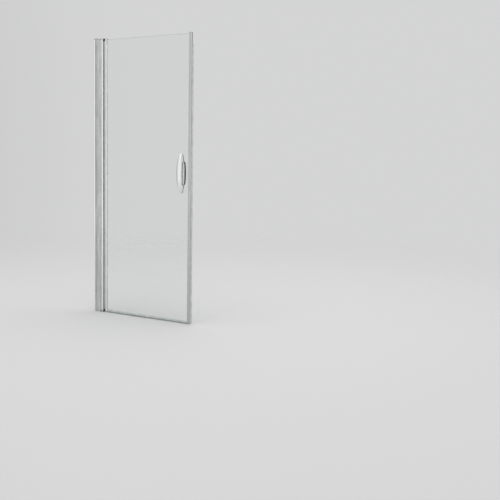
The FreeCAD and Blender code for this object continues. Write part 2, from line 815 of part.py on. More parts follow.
def make_back_gasket():
    """A full-length gasket behind the backplate."""
    leaf = stadium(backplate_length, backplate_width, glass_half, gasket_face)
    return leaf.cut([handle_screw(height, running_gap) for height in bolt_heights])


def make_handle_backplate():
    """A slim plate with round ends and a chamfered rim."""
    leaf = stadium(backplate_length, backplate_width, gasket_face, backplate_face)
    rim = [edge for edge in leaf.Edges if abs(edge.BoundBox.YMin - backplate_face) < seat_gap]
    leaf = leaf.makeChamfer(backplate_chamfer, rim)
    holes = [handle_screw(height, seat_gap) for height in bolt_heights]
    return leaf.cut(holes + grip_pegs(seat_gap))


def arch(offset):
    """Half of the grip's side view, that far inside its outside: the foot, the two ends and the
    middle of the shoulder, and the crown.  Each is (height over the middle, distance from the
    glass).  A large arc over the middle runs smoothly into a small one at the shoulder."""
    shoulder_z = grip_length / 2 - grip_shoulder
    bow_centre = backplate_face + grip_stand - grip_bow_radius
    rise = math.sqrt((grip_bow_radius - grip_shoulder) ** 2 - shoulder_z ** 2)
    shoulder_y = bow_centre + rise
    radius = grip_shoulder - offset
    meet = math.atan2(rise, shoulder_z)
    places = [(shoulder_z + radius * math.cos(angle), shoulder_y + radius * math.sin(angle))
              for angle in (0, meet / 2, meet)]
    return [(places[0][0], backplate_face)] + places + [(0, backplate_face + grip_stand - offset)]


def make_inner_grip():
    """A bow with square shoulders, narrowed towards its ends, on two pegs."""
    foot, low, mid, high, crown = arch(0)
    foot_in, low_in, mid_in, high_in, crown_in = arch(grip_thickness)
    face = outline(foot, [low, mid + high, crown + (-high[0], high[1]),
                          (-mid[0], mid[1], -low[0], low[1]), (-foot[0], foot[1]),
                          (-foot_in[0], foot_in[1]), (-low_in[0], low_in[1]),
                          (-mid_in[0], mid_in[1], -high_in[0], high_in[1]), crown_in + high_in,
                          mid_in + low_in, foot_in])
    bow = upright(face, -grip_width, grip_width)
    bow.rotate(Vector(0, 0, 0), Vector(0, 1, 0), -90)
    bow.translate(Vector(handle_x, 0, handle_height))
    bow = bow.common(oval(grip_taper_length, grip_width, backplate_face, bow_face))
    return bow.fuse(grip_pegs(0)).removeSplitter()


def make_handle_screws():
    """Countersunk screws with hexagonal sockets."""
    radius = handle_screw_key / math.sqrt(3)
    turns = [math.radians(60 * number) for number in range(6)]
    screws = []
    for height in bolt_heights:
        floor = Vector(handle_x, backplate_face - handle_screw_socket, height)
        corners = [floor + Vector(radius * math.sin(turn), 0, radius * math.cos(turn))
                   for turn in turns]
        socket = Part.Face(Part.makePolygon(corners + corners[:1])).extrude(Vector(0, overcut, 0))
        screws.append(handle_screw(height, 0).cut(socket))
    return Part.makeCompound(screws)


nodes = {
    "wall_profile": in_column(make_wall_profile()),
    "wall_top_cap": in_column(make_wall_top_cap()),
    "wall_foot_plug": in_column(make_wall_foot_plug()),
    "adjusting_screws": in_column(make_adjusting_screws()),
    "clamp_plates": in_column(make_clamp_plates()),
    "screw_covers": in_column(make_screw_covers()),
    "pivot_post": in_column(make_pivot_post()),
    "post_top_cap": in_column(make_post_top_cap()),
    "post_bottom_cap": in_column(make_post_bottom_cap()),
    "post_cap_screws": in_column(make_post_cap_screws()),
    "top_pivot_block": in_column(pivot_block(post_top, upper_head_top, upper_head_bottom,
                                             block_screw_heights[1])),
    "bottom_pivot_block": in_column(pivot_block(post_bottom, head_lift, lower_head_top,
                                                block_screw_heights[0])),
    "pivot_pins": make_pivot_pins(),
    "block_screws": in_column(make_block_screws()),
    "post_gasket": make_post_gasket(),
    "hinge_profile": make_hinge_profile(),
    "hinge_sleeve": make_hinge_sleeve(),
    "pivot_bushes": make_pivot_bushes(),
    "hinge_glazing_gasket": glazing_gasket(clamp_floor, clamp_front, clamp_inner, clamp_gasket_base),
    "hinge_end_caps": make_hinge_end_caps(),
    "glass_panel": make_glass_panel(),
    "bottom_seal": make_bottom_seal(),
    "edge_profile": make_edge_profile(),
    "edge_glazing_gasket": glazing_gasket(edge_floor, edge_back, edge_inner, edge_gasket_base),
    "edge_end_caps": make_edge_end_caps(),
    "edge_lip": make_edge_lip(),
    "handle_front": make_handle_front(),
    "front_pads": make_front_pads(),
    "glass_bushes": make_glass_bushes(),
    "back_gasket": make_back_gasket(),
    "handle_backplate": make_handle_backplate(),
    "inner_grip": make_inner_grip(),
    "handle_screws": make_handle_screws(),
}

os.makedirs("parts", exist_ok=True)
for name, shape in nodes.items():
    shape.exportStep(f"parts/{name}.step")
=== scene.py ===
import math

import bpy
import numpy as np
from bpy.props import FloatProperty, FloatVectorProperty, PointerProperty
from mathutils import Matrix, Vector


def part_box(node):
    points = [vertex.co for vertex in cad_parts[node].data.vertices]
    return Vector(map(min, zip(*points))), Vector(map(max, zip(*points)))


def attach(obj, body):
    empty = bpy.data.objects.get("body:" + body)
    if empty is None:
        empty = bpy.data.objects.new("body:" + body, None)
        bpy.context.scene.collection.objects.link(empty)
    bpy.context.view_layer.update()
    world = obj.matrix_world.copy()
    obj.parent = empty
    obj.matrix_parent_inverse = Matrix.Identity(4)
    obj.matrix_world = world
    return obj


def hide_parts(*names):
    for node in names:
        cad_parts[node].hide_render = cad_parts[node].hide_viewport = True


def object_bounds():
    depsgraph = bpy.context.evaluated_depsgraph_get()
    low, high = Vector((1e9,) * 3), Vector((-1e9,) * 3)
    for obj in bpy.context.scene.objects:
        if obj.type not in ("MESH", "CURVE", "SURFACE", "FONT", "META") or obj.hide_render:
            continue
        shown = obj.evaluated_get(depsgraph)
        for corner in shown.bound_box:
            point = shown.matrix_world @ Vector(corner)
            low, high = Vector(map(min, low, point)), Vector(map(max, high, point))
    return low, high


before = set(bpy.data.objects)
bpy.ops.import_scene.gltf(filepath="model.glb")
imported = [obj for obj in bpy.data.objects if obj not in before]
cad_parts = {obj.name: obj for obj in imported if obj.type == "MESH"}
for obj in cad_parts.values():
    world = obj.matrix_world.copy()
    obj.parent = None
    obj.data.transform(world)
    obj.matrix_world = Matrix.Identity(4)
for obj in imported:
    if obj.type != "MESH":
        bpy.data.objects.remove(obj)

bl_info = {
    "name": "Bath Screen",
    "version": (1, 0, 0),
    "blender": (4, 5, 0),
    "location": "View3D > Sidebar > Bath Screen",
    "description": "Finishes, smooth handle and seals for a pivoting glass bath screen",
    "category": "Add Mesh",
}

# Metres.  X runs from the wall out along the glass, Y towards the bath and Z up.
MM = 0.001
CAD_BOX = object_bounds()
BEAD_PROUD = 1.5 * MM     # of the column's beads, over its flanges
BEAD_BLEND = 0.2 * MM     # over which a flange's finish turns into a bead's polish and painted highlight
BEAD_GLOSS = 0.10         # roughness of the beads
GROUND_FROM = 0.6 * MM    # under the pane's faces, where its ground edges start to turn clear
GROUND_TO = 0.1 * MM      # under the pane's faces, where they are clear
GROUND_GLOSS = 0.35       # roughness of the pane's ground edges
SEAL_SHADE_TOP = 0.5 * MM     # over the seal's underside, where the painted shade on its fins starts to give way to its clear legs
SEAL_SHADE_BLEND = 0.5 * MM     # height over which the painted shade fades out
NOISE_RANGE = (0.3, 0.7)  # where most of a noise's values lie

# Roughness, and the grain's size and depth in millimetres, of each moulded finish.
MOULDINGS = {
    "dark_cap": (0.45, 0.8, 0.03),
    "top_cap": (0.45, 0.8, 0.03),
    "grey_cap": (0.38, 0.8, 0.02),
    "acetal": (0.35, 0.5, 0.01),
    "dark_rubber": (0.62, 0.6, 0.03),
    "seam_rubber": (0.60, 0.6, 0.03),
    "pale_rubber": (0.55, 0.6, 0.02),
    "lip_rubber": (0.5, 0.5, 0.01),
    "black_grip": (0.34, 0.5, 0.008),
    "shaded_seal": (0.3, 0.6, 0.01),
}
# The pieces of the frame that keep their meshes and get each moulded finish, or steel.
MOULDED_NODES = {
    "dark_cap": ("wall_foot_plug", "post_bottom_cap"),
    "top_cap": ("wall_top_cap",),
    "grey_cap": ("post_top_cap", "hinge_end_caps", "edge_end_caps"),
    "acetal": ("top_pivot_block", "bottom_pivot_block", "pivot_bushes"),
    "dark_rubber": ("front_pads",),
    "seam_rubber": ("post_gasket", "hinge_sleeve"),
    "pale_rubber": ("hinge_glazing_gasket", "edge_glazing_gasket", "glass_bushes"),
}
STEEL_NODES = ("adjusting_screws", "clamp_plates", "post_cap_screws", "pivot_pins", "block_screws")


# ---------------------------------------------------------------- settings
def colour(name, description, default):
    """A colour that a user may change."""
    return FloatVectorProperty(name=name, description=description, default=default, size=3,
                               min=0.0, max=1.0, subtype="COLOR")


def number(name, description, default, **limits):
    """A number that a user may change."""
    return FloatProperty(name=name, description=description, default=default, **limits)


def distance(name, description, default):
    """A length in metres that a user may change."""
    return number(name, description, default, min=0.0, subtype="DISTANCE", unit="LENGTH")


def share(name, description, default):
    """A number from 0 to 1 that a user may change."""
    return number(name, description, default, min=0.0, max=1.0, subtype="FACTOR")


def power(name, description, default):
    """A lamp's power in watts that a user may change."""
    return number(name, description, default, min=0.0, subtype="POWER", unit="POWER")


def angle(name, description, degrees):
    """An angle that a user may change."""
    return number(name, description, math.radians(degrees), subtype="ANGLE", unit="ROTATION")


class ScreenFinishes(bpy.types.PropertyGroup):
    """Colours of the screen's finishes"""
    aluminium: colour("Aluminium", "Drawn and anodised flats of the column", (0.70, 0.70, 0.71))
    # The darker tone is partly random dullness of the flats and partly painted shade close to the
    # wall.
    aluminium_dull_and_shaded: colour("Aluminium, dull", "Dull part of the column's flats", (0.41, 0.41, 0.42))
    edge_metal: colour("Edge profile", "Flats of the edge profile", (0.56, 0.56, 0.57))
    edge_metal_dark: colour("Edge profile, dull", "Dull part of its flats", (0.47, 0.47, 0.48))
    # The beads' near-white tone is partly their polish and partly a painted highlight along their
    # rounded edges.
    bead_polish_and_highlight: colour("Beads", "Bright-polished beads along the column", (0.97, 0.97, 0.97))
    hinge_metal: colour("Hinge profile", "Brighter flats beside the glass", (0.83, 0.83, 0.84))
    hinge_metal_dark: colour("Hinge profile, dull", "Dull part of its flats", (0.79, 0.79, 0.80))
    steel: colour("Steel", "Screws and pins", (0.55, 0.55, 0.56))
    glass: colour("Glass", "Tint of the pane's faces", (0.925, 0.948, 0.937))
    glass_edge: colour("Glass edge", "Tint of the pane's ground edges", (0.52, 0.62, 0.58))
    dark_cap: colour("Dark caps", "Dark grey mouldings", (0.10, 0.10, 0.11))
    top_cap: colour("Top cap", "Mid-grey cap on the wall profile", (0.30, 0.30, 0.31))
    grey_cap: colour("Grey caps", "Silver-grey mouldings", (0.42, 0.43, 0.44))
    acetal: colour("Bearing plastic", "Pivot blocks and bushes", (0.03, 0.03, 0.03))
    dark_rubber: colour("Dark rubber", "Pads under the handle's feet", (0.06, 0.065, 0.065))
    seam_rubber: colour("Seam rubber", "Hinge sleeve and wiper", (0.42, 0.43, 0.43))
    pale_rubber: colour("Pale rubber", "Gaskets against the glass", (0.86, 0.88, 0.87))
    # The fins' darker tone is a painted contact shadow along the seal's base.
    shaded_seal_fins: colour("Seal fins", "Soft, smoky fins of the seal", (0.48, 0.54, 0.51))
    seal_legs: colour("Seal legs", "Clear legs that grip the glass", (0.86, 0.90, 0.88))
    lip_rubber: colour("Lip rubber", "Soft lip on the free edge", (0.57, 0.58, 0.58))
    black_grip: colour("Grip", "Black inner grip", (0.006, 0.006, 0.006))


class HandleSizes(bpy.types.PropertyGroup):
    """Sizes of the bow handle and of the grip behind the glass"""
    crown_radius: distance("Crown radius", "Radius across the middle of the front", 29.6 * MM)
    bow_radius: distance("Bow radius", "Radius along the middle of the front", 400 * MM)
    tip_radius: distance("Tip radius", "Radius along the two ends of the front", 50 * MM)
    tip_bend: distance("Tip bend", "Height over the middle where the two radii meet", 75 * MM)
    thickness: distance("Thickness", "Thickness of the bow in its middle", 12.4 * MM)
    back_fall: distance("Back fall", "Fall of the bow's back over the finger gap", 3.6 * MM)
    finger_length: distance("Finger gap", "Length of the gap behind the bow", 122 * MM)
    gap_round: distance("Gap round", "Radius at the ends of the finger gap", 8 * MM)
    foot_round: distance("Foot round", "Radius along the feet's edges", 0.8 * MM)
    tip_thickness: distance("Tip thickness", "Least thickness, at the front's tips", 0.4 * MM)
    squareness: number("Squareness", "Exponent of the bow's section", 12.0, min=2.0)
    grip_bow: distance("Grip bow", "Radius of the inner grip's middle, outside", 400 * MM)
    grip_shoulder: distance("Grip shoulder", "Radius of its shoulders, outside", 15 * MM)
    grip_taper: distance("Grip taper", "Length of the oval that narrows its ends", 165 * MM)
    grip_thickness: distance("Grip thickness", "Thickness of the inner grip", 6.4 * MM)
    grip_squareness: number("Grip squareness", "Exponent of its section", 2.6, min=2.0)


class TrimSizes(bpy.types.PropertyGroup):
    """Sizes of the back gasket, the lip, the seal and the screw covers"""
    gasket_rim: distance("Gasket rim", "Rounding of the back gasket's rims", 0.2 * MM)
    gasket_clear: distance("Gasket clearance", "Between the back gasket and the glass", 0.05 * MM)
    lip_slant: distance("Lip slant", "Fall of the lip's upper end over its projection", 10 * MM)
    lip_root: distance("Lip root", "Thickness of the lip at the profile", 3.2 * MM)
    lip_tip: distance("Lip tip", "Thickness of the lip at its tip", 1.4 * MM)
    lip_round: distance("Lip round", "Radius along the key's corners", 0.12 * MM)
    lip_key: share("Lip key", "Depth of the key, of the way to the profile's face", 0.57)
    lip_neck: share("Lip neck", "Thickness of the neck, of the key's", 0.45)
    seal_wall: distance("Seal wall", "Thickness of the seal's legs", 1.0 * MM)
    seal_grip: distance("Seal grip", "How far the legs reach up the glass", 6.0 * MM)
    seal_base: distance("Seal base", "Thickness of the seal under the glass", 2.5 * MM)
    seal_clear: distance("Seal clearance", "Between the seal and the glass", 0.05 * MM)
    seal_round: distance("Seal round", "Radius along the seal's corners", 0.15 * MM)
    fin: distance("Fin", "Thickness of the seal's fins at their tips", 0.7 * MM)
    fin_tip: distance("Fin tip", "Upright fin's tip, in from the seal's side", 1.7 * MM)
    fin_root: distance("Fin root", "Thickness of the upright fin at its root", 2.2 * MM)
    drip_root: distance("Drip root", "Drip fin's root, in from the seal's side", 1.4 * MM)
    drip_fall: distance("Drip fall", "How far the drip fin hangs under the seal", 4.0 * MM)
    fin_setback: distance("Fin setback", "Where the drip fin starts, clear of the column", 6.2 * MM)
    cover_dome: distance("Cover dome", "Rise of a screw cover's face", 0.6 * MM)
    cover_rim: distance("Cover rim", "Radius along a screw cover's rim", 1.4 * MM)


class StudioSettings(bpy.types.PropertyGroup):
    """Floor, background, lamps and camera"""
    floor: colour("Floor", "Pale floor", (0.75, 0.75, 0.75))
    room_side: colour("Room side", "Studio background in front of the screen", (0.92, 0.92, 0.92))
    far_side: colour("Far side", "Studio background behind the screen", (0.655, 0.66, 0.657))
    wall_side: colour("Wall side", "Studio background beside the wall", (0.50, 0.50, 0.50))
    ceiling: colour("Ceiling", "Studio background overhead", (0.80, 0.80, 0.80))
    floor_radius: distance("Floor radius", "Where the floor has faded out", 5.0)
    floor_solid: share("Solid floor", "Where it starts to fade, of its radius", 0.15)
    key_size: distance("Key size", "Side of the large lamp overhead", 5.0)
    key_power: power("Key power", "Of the large lamp overhead", 26.0)
    back_size: distance("Back size", "Side of the lamp behind the glass", 4.0)
    back_power: power("Back power", "Of the lamp behind the glass", 16.0)
    camera_place: FloatVectorProperty(name="Camera", description="Camera's place", subtype="XYZ",
                                      default=(3.2457, -3.5159, 0.8921), unit="LENGTH")
    turn: angle("Turn", "Camera's heading, from +Y towards -X", 32.330)
    tilt: angle("Tilt", "Camera's downward tilt", 5.182)
    roll: angle("Roll", "Camera's roll", 0.827)
    lens: number("Lens", "Focal length in millimetres", 61.11, min=1.0)
    sensor: number("Sensor", "Sensor's width in millimetres", 36.0, min=1.0)
    shift: number("Shift", "Vertical lens shift, as a share of the frame", -0.04)


# ---------------------------------------------------------------- surfaces
def linked(name, data):
    """A new object of the scene that shows the given data."""
    item = bpy.data.objects.new(name, data)
    bpy.context.scene.collection.objects.link(item)
    return item


def mesh_object(name, points, faces, smooth_angle):
    """An object at the origin with the given points and faces, turned to face outwards: the signed
    volume under its triangles is positive when they do."""
    mesh = bpy.data.meshes.new(name)
    mesh.from_pydata(points, [], faces)
    mesh.calc_loop_triangles()
    corners = np.zeros(len(mesh.loop_triangles) * 3, np.int32)
    mesh.loop_triangles.foreach_get("vertices", corners)
    a, b, c = (points[corners.reshape(-1, 3)[:, i]] for i in range(3))
    if np.einsum("ij,ij->i", a, np.cross(b, c)).sum() < 0:
        mesh.flip_normals()
    mesh.shade_smooth()
    mesh.set_sharp_from_angle(angle=math.radians(smooth_angle))
    return linked(name, mesh)


def ring_quads(index):
    """Quads that join each row of point numbers to the next; every row closes on itself."""
    low, high = index[:-1], index[1:]
    quads = np.stack([low, np.roll(low, -1, 1), np.roll(high, -1, 1), high], axis=-1)
    return quads.reshape(-1, 4)


def lofted(name, rings, smooth_angle):
    """A closed skin over rings, an array (rings, points, 3).  Quads join each ring to the next, and
    a many-sided face closes each end."""
    index = np.arange(rings[..., 0].size).reshape(rings.shape[:2])
    faces = ring_quads(index).tolist() + [index[0, ::-1].tolist(), index[-1].tolist()]
    return mesh_object(name, rings.reshape(-1, 3), faces, smooth_angle)


def rounded_outline(corners, radii, steps):
    """A closed outline with each corner replaced by an arc.  The arc touches both sides at
    radius / tan(half the corner's angle), and its points turn evenly about its centre."""
    corner = np.array(corners, float)
    before = np.roll(corner, 1, 0) - corner
    after = np.roll(corner, -1, 0) - corner
    before /= np.linalg.norm(before, axis=1, keepdims=True)
    after /= np.linalg.norm(after, axis=1, keepdims=True)
    radius = np.broadcast_to(np.array(radii, float), len(corner))[:, None]
    half = np.arccos(np.clip((before * after).sum(1), -1, 1))[:, None] / 2
    middle = before + after
    middle /= np.linalg.norm(middle, axis=1, keepdims=True)
    centre = corner + middle * radius / np.sin(half)
    start = corner + before * radius / np.tan(half) - centre
    end = corner + after * radius / np.tan(half) - centre
    sweep = (math.pi - 2 * half)[:, None]
    part = np.linspace(0, 1, steps)[None, :, None]
    arc = (np.sin((1 - part) * sweep) * start[:, None] + np.sin(part * sweep) * end[:, None])
    return (centre[:, None] + arc / np.sin(sweep)).reshape(-1, 2)


def inset(outline, amounts):
    """Copies of a closed outline, each moved inwards along its normals by its own amount.  The sign
    of its area, half the sum of x1 * y2 - y1 * x2 along it, says which side is inwards."""
    along = np.roll(outline, -1, 0) - np.roll(outline, 1, 0)
    normal = np.stack([-along[:, 1], along[:, 0]], 1)
    normal /= np.linalg.norm(normal, axis=1, keepdims=True)
    x, y = outline.T
    side = np.sign((x * np.roll(y, -1) - y * np.roll(x, -1)).sum())
    return outline[None] + side * normal[None] * np.array(amounts)[:, None, None]


def plate_rings(outline, low, high, rim, steps=5):
    """Rings of a plate over an outline whose two rims are quarter circles: the inset is
    rim * (1 - cos) while the height runs rim * (1 - sin) in from each face."""
    turn = np.linspace(0, math.pi / 2, steps)
    insets = np.concatenate([rim * (1 - np.sin(turn)), rim * (1 - np.cos(turn))])
    heights = np.concatenate([low + rim * (1 - np.cos(turn)), high - rim * (1 - np.sin(turn))])
    flat = inset(outline, insets)
    level = np.broadcast_to(heights[:, None, None], flat.shape[:2] + (1,))
    return np.concatenate([flat, level], axis=2)


def super_loop(per_side, n):
    """A rounded square of half-size 1.  Points run evenly round a square, and each is divided by
    (|x|^n + |y|^n)^(1/n), so that a higher n makes it squarer."""
    run = np.linspace(-1, 1, per_side, endpoint=False)
    edge = np.ones_like(run)
    x = np.concatenate([run, edge, -run, -edge])
    y = np.concatenate([-edge, run, edge, -run])
    norm = (np.abs(x) ** n + np.abs(y) ** n) ** (1 / n)
    return x / norm, y / norm


def joined(name, pieces):
    """One object that holds several closed skins."""
    with bpy.context.temp_override(active_object=pieces[0], object=pieces[0],
                                   selected_objects=pieces, selected_editable_objects=pieces):
        bpy.ops.object.join()
    pieces[0].name = name
    pieces[0].data.name = name
    return pieces[0]


# ---------------------------------------------------------------- the screen's own shapes
def turned_radius(sizes, z):
    """The handle face's distance from the upright axis that it is turned about: a long arc, then
    from tip_bend on a tighter one, tangent to it."""
    shared_line = (sizes.bow_radius - sizes.tip_radius) / sizes.bow_radius
    tip_z = shared_line * sizes.tip_bend
    tip_out = sizes.crown_radius - sizes.bow_radius + shared_line * math.sqrt(
        sizes.bow_radius ** 2 - sizes.tip_bend ** 2)
    bow = sizes.crown_radius - sizes.bow_radius + np.sqrt(sizes.bow_radius ** 2 - z ** 2)
    tip = tip_out + np.sqrt(np.clip(sizes.tip_radius ** 2 - (z - tip_z) ** 2, 0, None))
    return np.where(z < sizes.tip_bend, bow, tip)


def handle_back(sizes, front, foot, half_length):
    """The handle's back seen from the side, as (height over the middle, y): the bow's arc, the
    rounded end of the finger gap, the gap's wall, and the foot out to its tip.  The bow's radius is
    (half^2 + fall^2) / (2 * fall)."""
    bow_steps, turn_steps, sole_steps = 30, 9, 14
    half = sizes.finger_length / 2
    radius = (half ** 2 + sizes.back_fall ** 2) / (2 * sizes.back_fall)
    z = np.linspace(0, half, bow_steps)
    y = front + sizes.thickness + radius - np.sqrt(radius ** 2 - z ** 2)
    gap_top = y[-1]
    # The last two corners only close the outline, and their arcs are left out.
    corners = [(half, gap_top), (half, foot), (half_length, foot), (half_length, front),
               (0, gap_top)]
    radii = [sizes.gap_round, sizes.foot_round, sizes.foot_round, MM, MM]
    turned = rounded_outline(corners, radii, turn_steps)
    wall, tip = turned[:2 * turn_steps], turned[2 * turn_steps:3 * turn_steps]
    bow = np.stack([z, y], 1)[z < half - sizes.gap_round - MM]
    sole = wall[-1] + (tip[0] - wall[-1]) * np.linspace(0, 1, sole_steps)[1:-1, None]
    side = np.concatenate([bow, wall, sole, tip])
    return np.concatenate([side[:0:-1] * (-1, 1), side])


def bow_handle_rings(sizes, low, high):
    """Rings up the handle, each a rounded square in (across, depth), with depth 0 on the face and 1
    on the back.  x is across * half_width * sqrt(1 - (z / half_length)^2), an oval.  The face is
    y = front + crown_radius - sqrt(turned_radius(z)^2 - x^2), and its heights are half_length times
    the sine of an angle that grows with the way run along the back.  Between face and back, y and z
    run in proportion to the depth."""
    side_steps, least_oval = 26, 1e-5
    middle = (low + high) / 2
    half_length, half_width = (high.z - low.z) / 2, (high.x - low.x) / 2
    back = handle_back(sizes, low.y, high.y, half_length)
    travel = np.concatenate([[0], np.cumsum(np.hypot(*np.diff(back, axis=0).T))])
    front_z = half_length * np.sin((travel / travel[-1] - 0.5) * math.pi)
    across, deep = super_loop(side_steps, sizes.squareness)
    depth = (deep[None] + 1) / 2
    z = front_z[:, None] * (1 - depth) + back[:, :1] * depth
    breadth = half_width * np.sqrt(np.clip(1 - (z / half_length) ** 2, least_oval, 1))
    x = across[None] * breadth
    face = low.y + sizes.crown_radius - np.sqrt(turned_radius(sizes, np.abs(z)) ** 2 - x ** 2)
    y = face * (1 - depth) + np.maximum(back[:, 1:], face + sizes.tip_thickness) * depth
    return np.stack([middle.x + x, y, middle.z + z], axis=2)


def back_gasket_rings(sizes, low, high):
    """A plate with round ends and rounded rims, whose side towards the glass keeps clear of it."""
    end_steps, end_flat = 16, 0.01 * MM
    corners = [(low.x, low.z), (high.x, low.z), (high.x, high.z), (low.x, high.z)]
    outline = rounded_outline(corners, (high.x - low.x) / 2 - end_flat, end_steps)
    rings = plate_rings(outline, low.y + sizes.gasket_clear, high.y, sizes.gasket_rim)
    return rings[:, :, [0, 2, 1]]


def grip_path(sizes, seat, outside, half_length):
    """The middle line of the inner grip, as (height over the middle, y): a straight leg, a shoulder
    and the bow, each an arc of (cos, sin) that is tangent to the last, and the same mirrored."""
    leg_steps, shoulder_steps, bow_steps = 6, 14, 26
    inward = sizes.grip_thickness / 2
    shoulder_z = half_length - sizes.grip_shoulder
    bow_y = outside - sizes.grip_bow
    shoulder_y = bow_y + math.sqrt((sizes.grip_bow - sizes.grip_shoulder) ** 2 - shoulder_z ** 2)
    meet = math.atan2(shoulder_y - bow_y, shoulder_z)

    def arc(z, y, radius, turn):
        return np.array([[z, y]]) + (radius - inward) * np.stack([np.cos(turn), np.sin(turn)], 1)

    leg = np.stack([np.full(leg_steps, half_length - inward),
                    np.linspace(seat, shoulder_y, leg_steps + 1)[:-1]], 1)
    shoulder = arc(shoulder_z, shoulder_y, sizes.grip_shoulder,
                   np.linspace(0, meet, shoulder_steps))
    bow = arc(0, bow_y, sizes.grip_bow, np.linspace(meet, math.pi / 2, bow_steps)[1:])
    side = np.concatenate([leg, shoulder, bow])
    return np.concatenate([side, side[-2::-1] * (-1, 1)])


def grip_rings(sizes, low, high, seat):
    """A rounded square carried along the grip's path, square to it.  Its breadth is the box's times
    sqrt(1 - (2 * z / grip_taper)^2), an oval, and its feet are cut off level with the seat."""
    side_steps = 12
    middle = (low + high) / 2
    path = grip_path(sizes, seat, high.y, (high.z - low.z) / 2)
    along = np.gradient(path, axis=0)
    along /= np.linalg.norm(along, axis=1, keepdims=True)
    outwards = np.stack([along[:, 1], -along[:, 0]], 1)
    taper = np.sqrt(1 - (2 * path[:, :1] / sizes.grip_taper) ** 2)
    across, deep = super_loop(side_steps, sizes.grip_squareness)
    x = middle.x + across[None] * taper * (high.x - low.x) / 2
    offset = deep[None, :, None] * sizes.grip_thickness / 2 * outwards[:, None]
    z = middle.z + path[:, :1] + offset[:, :, 0]
    y = np.maximum(path[:, 1:] + offset[:, :, 1], seat)
    return np.stack([x, y, z], axis=2)


def lip_rings(sizes, low, high, face):
    """The lip's plan, a key, a neck and a tongue that narrows outwards, carried up Z in even steps.
    A point's top is lower by lip_slant times how far it stands past the profile's face."""
    corner_steps, levels = 5, 40
    key = (high.y - low.y) / 2
    key_end = low.x + (face - low.x) * sizes.lip_key
    neck = key * sizes.lip_neck
    side = [(low.x, key), (key_end, key), (key_end, neck), (face, neck),
            (face, sizes.lip_root / 2), (high.x, sizes.lip_tip / 2)]
    corners = side + [(x, -y) for x, y in reversed(side)]
    rounder = (1, 1, 1, 1, 3, 5)    # the tongue's root and tip are rounder than the key
    radii = [sizes.lip_round * times for times in rounder]
    outline = rounded_outline(corners, radii + radii[::-1], corner_steps)
    past_face = np.clip((outline[:, 0] - face) / (high.x - face), 0, 1)
    top = high.z - sizes.lip_slant * past_face
    z = low.z + (top[None] - low.z) * np.linspace(0, 1, levels)[:, None]
    plan = np.broadcast_to(outline[None], z.shape + (2,))
    return np.concatenate([plan, z[:, :, None]], axis=2)


def seal_rings(sizes, low, high, glass_low, glass_side):
    """The seal's section, a U round the glass over an upright fin and a drip fin, carried along X.
    Up to fin_start the drip fin is left off: what is past the seal's side is drawn back to it, and
    up to where the fin's underside, a straight line, meets it."""
    corner_steps, stations, step_over = 4, 50, 0.1 * MM
    inner = glass_side + sizes.seal_clear
    outer = inner + sizes.seal_wall
    ceiling = glass_low - sizes.seal_clear
    floor = ceiling - sizes.seal_base
    grip_top = glass_low + sizes.seal_grip
    upright, upright_root = sizes.fin_tip - outer, sizes.fin_root - outer
    drip_root, drip_end, drip_low = outer - sizes.drip_root, high.y, floor - sizes.drip_fall
    corners = [(outer, floor), (outer, grip_top), (inner, grip_top), (inner, ceiling),
               (-inner, ceiling), (-inner, grip_top), (-outer, grip_top), (-outer, floor),
               (upright - sizes.fin, low.z), (upright, low.z), (upright_root, floor),
               (drip_root, floor), (drip_end - sizes.fin, drip_low),
               (drip_end, drip_low + sizes.fin)]
    outline = rounded_outline(corners, sizes.seal_round, corner_steps)
    underside = sizes.drip_fall * sizes.drip_root / (drip_end - sizes.fin - drip_root)
    trimmed = outline.copy()
    past = outline[:, 0] > outer
    trimmed[past, 0] = outer
    trimmed[past, 1] = np.maximum(outline[past, 1], floor - underside)
    fin_start = low.x + sizes.fin_setback
    x = np.concatenate([[low.x, fin_start - step_over], np.linspace(fin_start, high.x, stations)])
    rings = np.where((x < fin_start)[:, None, None], trimmed[None], outline[None])
    along = np.broadcast_to(x[:, None, None], rings.shape[:2] + (1,))
    return np.concatenate([along, rings], axis=2)


def cover_rings(sizes, low, high, radius, centre):
    """A screw cover turned about a line along Y through its centre (x, z): a straight side, a rim
    that is a quarter circle, and a face that rises by cover_dome * (1 - share^2), where share is
    the part of the way out to the rim."""
    around, rim_steps, dome_steps, least_share = 48, 8, 10, 0.02
    turn = np.linspace(0, 2 * math.pi, around, endpoint=False)
    lean = np.linspace(0, math.pi / 2, rim_steps)
    share_out = np.linspace(1, least_share, dome_steps)[1:]
    rim, face = sizes.cover_rim, high.y - sizes.cover_dome
    r = np.concatenate([[radius], radius - rim + rim * np.cos(lean), (radius - rim) * share_out])
    y = np.concatenate([[low.y], face - rim + rim * np.sin(lean),
                        face + sizes.cover_dome * (1 - share_out ** 2)])
    x = centre[0] + r[:, None] * np.cos(turn)
    z = centre[1] + r[:, None] * np.sin(turn)
    return np.stack([x, np.broadcast_to(y[:, None], x.shape), z], axis=2)


# ---------------------------------------------------------------- shader building
def feed(tree, node, values):
    """Gives a node's inputs their values, each a constant or an output socket to link."""
    for key, value in values.items():
        if isinstance(value, bpy.types.NodeSocket):
            tree.links.new(value, node.inputs[key])
        else:
            node.inputs[key].default_value = value


def add(tree, kind, values=None, **settings):
    """A node with its settings and input values."""
    node = tree.nodes.new(kind)
    for key, value in settings.items():
        setattr(node, key, value)
    feed(tree, node, values or {})
    return node


def rgba(colour_value):
    """A four-number colour from a three-number one; an output socket stays as it is."""
    if isinstance(colour_value, bpy.types.NodeSocket):
        return colour_value
    return (*colour_value, 1.0)


